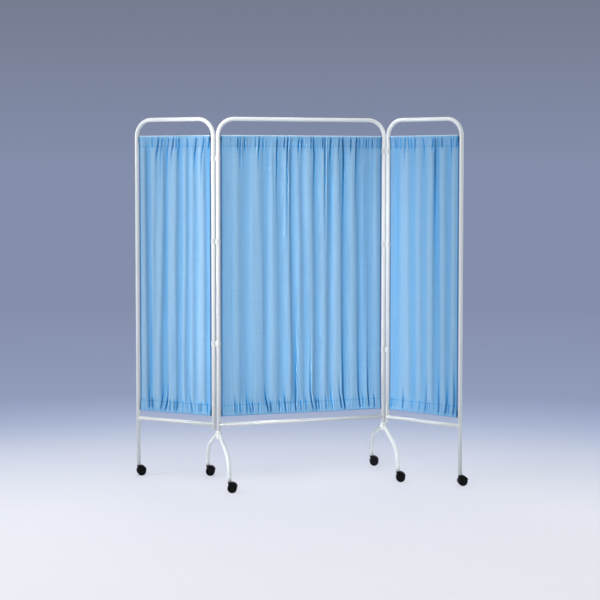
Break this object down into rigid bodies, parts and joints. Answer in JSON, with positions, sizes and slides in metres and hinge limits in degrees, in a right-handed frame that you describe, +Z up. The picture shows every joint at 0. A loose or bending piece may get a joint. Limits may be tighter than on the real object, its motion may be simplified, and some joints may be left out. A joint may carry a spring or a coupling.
{
  "type": "folding ward privacy screen on casters",
  "caption": "Folding ward screen: a wide and two narrow tube panels with gathered curtains, clipped post to post and rolling on twin-wheel casters.",
  "frame": {"origin": "on the floor, under the middle of the bounding box", "axes": "+X along the centre panel towards the right wing, +Y to the rear, +Z up"},
  "size_m": [1.4222, 0.7106, 1.6998],
  "materials": {
    "white_paint": "satin",
    "white_plastic": "satin",
    "blue_cloth": "matt woven",
    "rod_steel": "zinc plated",
    "caster_steel": "zinc plated",
    "hood_black": "moulded",
    "wheel_black": "moulded"
  },
  "bodies": {
    "centre": {"centre_frame": "white_paint", "centre_crossbar": "white_paint", "centre_top_rod": "rod_steel", "centre_bottom_rod": "rod_steel", "centre_curtain": "blue_cloth", "left_foot_hub": "white_paint", "right_foot_hub": "white_paint", "left_front_leg": "white_paint", "left_rear_leg": "white_paint", "right_front_leg": "white_paint", "right_rear_leg": "white_paint", "left_front_caster_stem": "caster_steel", "left_rear_caster_stem": "caster_steel", "right_front_caster_stem": "caster_steel", "right_rear_caster_stem": "caster_steel"},
    "left_clips": {"left_upper_clip": "white_plastic", "left_middle_clip": "white_plastic", "left_lower_clip": "white_plastic"},
    "left_wing": {"left_frame": "white_paint", "left_crossbar": "white_paint", "left_top_rod": "rod_steel", "left_bottom_rod": "rod_steel", "left_curtain": "blue_cloth", "left_post_cap": "white_plastic", "left_wing_caster_stem": "caster_steel"},
    "right_clips": {"right_upper_clip": "white_plastic", "right_middle_clip": "white_plastic", "right_lower_clip": "white_plastic"},
    "right_wing": {"right_frame": "white_paint", "right_crossbar": "white_paint", "right_top_rod": "rod_steel", "right_bottom_rod": "rod_steel", "right_curtain": "blue_cloth", "right_post_cap": "white_plastic", "right_wing_caster_stem": "caster_steel"},
    "left_front_swivel": {"left_front_caster_hood": "hood_black", "left_front_caster_axle": "caster_steel"},
    "left_front_wheel_a": {"left_front_caster_wheel_a": "wheel_black"},
    "left_front_wheel_b": {"left_front_caster_wheel_b": "wheel_black"},
    "left_rear_swivel": {"left_rear_caster_hood": "hood_black", "left_rear_caster_axle": "caster_steel"},
    "left_rear_wheel_a": {"left_rear_caster_wheel_a": "wheel_black"},
    "left_rear_wheel_b": {"left_rear_caster_wheel_b": "wheel_black"},
    "left_wing_swivel": {"left_wing_caster_hood": "hood_black", "left_wing_caster_axle": "caster_steel"},
    "left_wing_wheel_a": {"left_wing_caster_wheel_a": "wheel_black"},
    "left_wing_wheel_b": {"left_wing_caster_wheel_b": "wheel_black"},
    "right_front_swivel": {"right_front_caster_hood": "hood_black", "right_front_caster_axle": "caster_steel"},
    "right_front_wheel_a": {"right_front_caster_wheel_a": "wheel_black"},
    "right_front_wheel_b": {"right_front_caster_wheel_b": "wheel_black"},
    "right_rear_swivel": {"right_rear_caster_hood": "hood_black", "right_rear_caster_axle": "caster_steel"},
    "right_rear_wheel_a": {"right_rear_caster_wheel_a": "wheel_black"},
    "right_rear_wheel_b": {"right_rear_caster_wheel_b": "wheel_black"},
    "right_wing_swivel": {"right_wing_caster_hood": "hood_black", "right_wing_caster_axle": "caster_steel"},
    "right_wing_wheel_a": {"right_wing_caster_wheel_a": "wheel_black"},
    "right_wing_wheel_b": {"right_wing_caster_wheel_b": "wheel_black"}
  },
  "joints": [
    {"name": "left_clip_fold", "type": "hinge", "parent": "centre", "child": "left_clips", "pos_m": [-0.38302, 0.03434, 1.1], "axis": [0, 0, 1], "range_deg": [-46.5, 133.5]},
    {"name": "left_wing_fold", "type": "hinge", "parent": "left_clips", "child": "left_wing", "pos_m": [-0.40116, 0.05155, 1.1], "axis": [0, 0, 1], "range_deg": [-90, 75]},
    {"name": "right_clip_fold", "type": "hinge", "parent": "centre", "child": "right_clips", "pos_m": [0.42898, 0.03434, 1.1], "axis": [0, 0, 1], "range_deg": [-33.5, 146.5]},
    {"name": "right_wing_fold", "type": "hinge", "parent": "right_clips", "child": "right_wing", "pos_m": [0.44277, 0.0135, 1.1], "axis": [0, 0, 1], "range_deg": [-90, 75]},
    {"name": "left_front_swivel_turn", "type": "hinge", "parent": "centre", "child": "left_front_swivel", "pos_m": [-0.38302, -0.16566, 0.04], "axis": [0, 0, 1], "continuous": true},
    {"name": "left_front_roll_a", "type": "hinge", "parent": "left_front_swivel", "child": "left_front_wheel_a", "pos_m": [-0.37107, -0.16931, 0.02158], "axis": [0.2924, 0.9563, 0], "continuous": true},
    {"name": "left_front_roll_b", "type": "hinge", "parent": "left_front_swivel", "child": "left_front_wheel_b", "pos_m": [-0.37107, -0.16931, 0.02158], "axis": [0.2924, 0.9563, 0], "continuous": true},
    {"name": "left_rear_swivel_turn", "type": "hinge", "parent": "centre", "child": "left_rear_swivel", "pos_m": [-0.38721, 0.2343, 0.04], "axis": [0, 0, 1], "continuous": true},
    {"name": "left_rear_roll_a", "type": "hinge", "parent": "left_rear_swivel", "child": "left_rear_wheel_a", "pos_m": [-0.37526, 0.23064, 0.02158], "axis": [0.2924, 0.9563, 0], "continuous": true},
    {"name": "left_rear_roll_b", "type": "hinge", "parent": "left_rear_swivel", "child": "left_rear_wheel_b", "pos_m": [-0.37526, 0.23064, 0.02158], "axis": [0.2924, 0.9563, 0], "continuous": true},
    {"name": "left_wing_swivel_turn", "type": "hinge", "parent": "left_wing", "child": "left_wing_swivel", "pos_m": [-0.70146, 0.33653, 0.04], "axis": [0, 0, 1], "continuous": true},
    {"name": "left_wing_roll_a", "type": "hinge", "parent": "left_wing_swivel", "child": "left_wing_wheel_a", "pos_m": [-0.68897, 0.33609, 0.02158], "axis": [0.0349, 0.9994, 0], "continuous": true},
    {"name": "left_wing_roll_b", "type": "hinge", "parent": "left_wing_swivel", "child": "left_wing_wheel_b", "pos_m": [-0.68897, 0.33609, 0.02158], "axis": [0.0349, 0.9994, 0], "continuous": true},
    {"name": "right_front_swivel_turn", "type": "hinge", "parent": "centre", "child": "right_front_swivel", "pos_m": [0.42898, -0.16566, 0.04], "axis": [0, 0, 1], "continuous": true},
    {"name": "right_front_roll_a", "type": "hinge", "parent": "right_front_swivel", "child": "right_front_wheel_a", "pos_m": [0.44093, -0.16931, 0.02158], "axis": [0.2924, 0.9563, 0], "continuous": true},
    {"name": "right_front_roll_b", "type": "hinge", "parent": "right_front_swivel", "child": "right_front_wheel_b", "pos_m": [0.44093, -0.16931, 0.02158], "axis": [0.2924, 0.9563, 0], "continuous": true},
    {"name": "right_rear_swivel_turn", "type": "hinge", "parent": "centre", "child": "right_rear_swivel", "pos_m": [0.44154, 0.23395, 0.04], "axis": [0, 0, 1], "continuous": true},
    {"name": "right_rear_roll_a", "type": "hinge", "parent": "right_rear_swivel", "child": "right_rear_wheel_a", "pos_m": [0.45349, 0.23029, 0.02158], "axis": [0.2924, 0.9563, 0], "continuous": true},
    {"name": "right_rear_roll_b", "type": "hinge", "parent": "right_rear_swivel", "child": "right_rear_wheel_b", "pos_m": [0.45349, 0.23029, 0.02158], "axis": [0.2924, 0.9563, 0], "continuous": true},
    {"name": "right_wing_swivel_turn", "type": "hinge", "parent": "right_wing", "child": "right_wing_swivel", "pos_m": [0.67128, -0.33173, 0.04], "axis": [0, 0, 1], "continuous": true},
    {"name": "right_wing_roll_a", "type": "hinge", "parent": "right_wing_swivel", "child": "right_wing_wheel_a", "pos_m": [0.68366, -0.33347, 0.02158], "axis": [0.1392, 0.9903, 0], "continuous": true},
    {"name": "right_wing_roll_b", "type": "hinge", "parent": "right_wing_swivel", "child": "right_wing_wheel_b", "pos_m": [0.68366, -0.33347, 0.02158], "axis": [0.1392, 0.9903, 0], "continuous": true}
  ]
}
